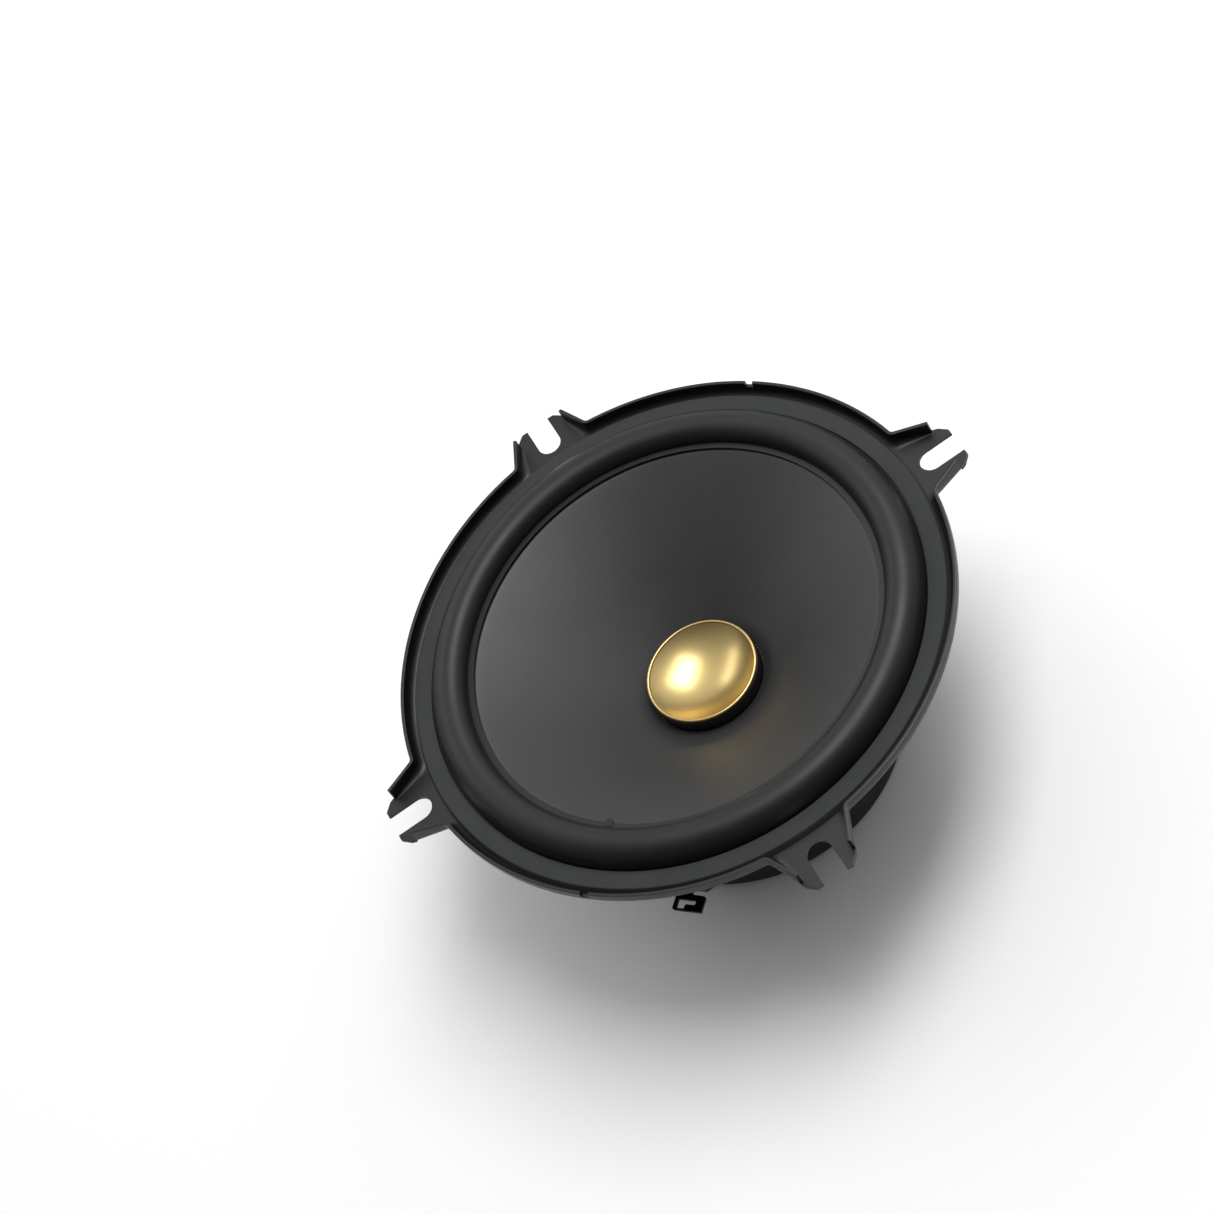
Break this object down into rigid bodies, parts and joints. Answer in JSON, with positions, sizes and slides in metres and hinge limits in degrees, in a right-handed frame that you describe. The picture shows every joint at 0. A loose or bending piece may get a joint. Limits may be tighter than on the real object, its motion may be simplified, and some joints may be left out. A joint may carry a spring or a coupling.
{
  "type": "component car woofer",
  "caption": "Car mid-bass loudspeaker: stamped basket with forked ears, roll surround, dark polymer cone, gold dished dust cap and covered ferrite magnet; the cone travels along its axis.",
  "frame": {"origin": "centre of the back face of the magnet cover, on the loudspeaker's axis", "axes": "+Z along the loudspeaker's axis, the way the cone faces; +Y is the upper edge as mounted; the terminals are on -Y"},
  "size_m": [0.132, 0.132, 0.0553],
  "materials": {
    "black_paint": "satin black electrocoat on stamped steel",
    "gasket_board": "matt grey gasket board",
    "rubber": "matt moulded butyl rubber",
    "cone_polymer": "satin mica-filled polypropylene",
    "gold_cap": "polished gold anodised",
    "black_film": "black film",
    "copper": "enamelled copper wire",
    "spider_cloth": "resin-treated woven cloth",
    "zinc_steel": "zinc plated",
    "ferrite": "sintered ferrite",
    "cover_rubber": "moulded black rubber cover",
    "fibre_board": "pressed fibre board",
    "blackened_steel": "blackened steel",
    "tinsel": "tinned copper braid"
  },
  "bodies": {
    "chassis": {"basket_frame": "black_paint", "front_gasket": "gasket_board", "surround": "rubber", "spider": "spider_cloth", "top_plate": "zinc_steel", "magnet": "ferrite", "yoke": "zinc_steel", "magnet_boot": "cover_rubber", "terminal_board": "fibre_board", "terminal_positive": "blackened_steel", "terminal_negative": "blackened_steel", "lead_positive": "tinsel", "lead_negative": "tinsel", "plate_rivet_1": "zinc_steel", "plate_rivet_2": "zinc_steel", "plate_rivet_3": "zinc_steel", "plate_rivet_4": "zinc_steel", "board_rivet_left": "zinc_steel", "board_rivet_right": "zinc_steel", "blade_rivet_negative": "zinc_steel", "blade_rivet_positive": "zinc_steel"},
    "diaphragm": {"cone": "cone_polymer", "dust_cap": "gold_cap", "cap_collar": "black_film", "coil_former": "black_film", "voice_coil": "copper", "lead_eyelet_positive": "black_film", "lead_eyelet_negative": "black_film"}
  },
  "joints": [
    {"name": "cone_travel", "type": "slide", "parent": "chassis", "child": "diaphragm", "axis": [0, 0, 1], "range_m": [-0.003, 0.003], "stiffness_N_per_m": 1500, "deforming": ["surround", "spider", "lead_positive", "lead_negative"]}
  ]
}
